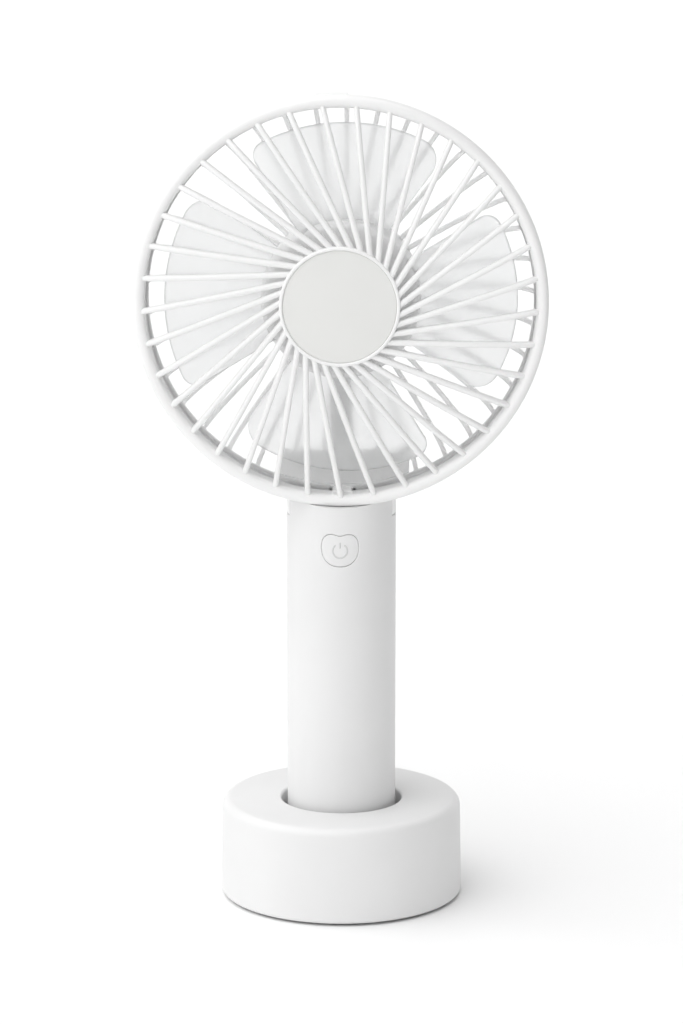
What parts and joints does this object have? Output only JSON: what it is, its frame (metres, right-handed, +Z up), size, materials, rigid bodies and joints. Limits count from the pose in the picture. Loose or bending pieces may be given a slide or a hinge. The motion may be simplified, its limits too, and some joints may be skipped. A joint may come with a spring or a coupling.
{
  "type": "desk fan",
  "caption": "Small round grille fan on a straight handle that stands in a weighted round stand, with a front button and a pull-off front grille.",
  "frame": {"origin": "middle of the stand's underside, on the desk", "axes": "+Z up along the handle; the fan blows towards -Y; +X to the right seen from the front"},
  "size_m": [0.106, 0.0632, 0.213],
  "materials": {
    "white_shell": "satin moulded plastic",
    "cap_disc": "satin moulded plastic, slightly warm",
    "blades": "frosted, slightly translucent moulded plastic",
    "steel": "plain steel",
    "bronze": "sintered bronze",
    "grip_rubber": "matt rubber sheet",
    "board": "circuit board",
    "black_plastic": "matt moulded plastic",
    "cell_wrap": "shrink wrap",
    "magnet": "dark ferrite and lacquered iron",
    "led_lens": "clear lens"
  },
  "bodies": {
    "stand": {"dock_shell": "white_shell", "dock_base_plate": "black_plastic", "dock_weight_ring": "steel", "dock_grip_pad": "grip_rubber", "dock_screw_1": "steel", "dock_screw_2": "steel", "dock_screw_3": "steel"},
    "handle": {"handle_front_shell": "white_shell", "handle_rear_shell": "white_shell", "handle_end_cap": "white_shell", "battery_cell": "cell_wrap", "control_board": "board", "tact_switch": "black_plastic", "charging_socket": "steel", "charge_led": "led_lens", "neck_screw_1": "steel", "neck_screw_2": "steel", "rear_housing": "white_shell", "wire_cover": "white_shell", "motor_lead": "black_plastic", "motor_can": "steel", "motor_magnet_ring": "magnet", "motor_end_cap": "black_plastic", "motor_front_bush": "bronze", "motor_rear_bush": "bronze", "motor_screw_1": "steel", "motor_screw_2": "steel"},
    "grille": {"front_grille": "white_shell", "front_cap_disc": "cap_disc"},
    "fan_wheel": {"impeller": "blades", "motor_shaft": "steel", "motor_rotor": "magnet"},
    "button": {"power_button": "white_shell"}
  },
  "joints": [
    {"name": "fan_lift", "type": "slide", "parent": "stand", "child": "handle", "axis": [0, 0, 1], "range_m": [0, 0.05]},
    {"name": "wheel_spin", "type": "hinge", "parent": "handle", "child": "fan_wheel", "pos_m": [0, 0, 0.1597], "axis": [0, 1, 0], "continuous": true},
    {"name": "grille_pull", "type": "slide", "parent": "handle", "child": "grille", "axis": [0, -1, 0], "range_m": [0, 0.03]},
    {"name": "button_press", "type": "slide", "parent": "handle", "child": "button", "axis": [0, 1, 0], "range_m": [0, 0.0006], "stiffness_N_per_m": 800}
  ]
}
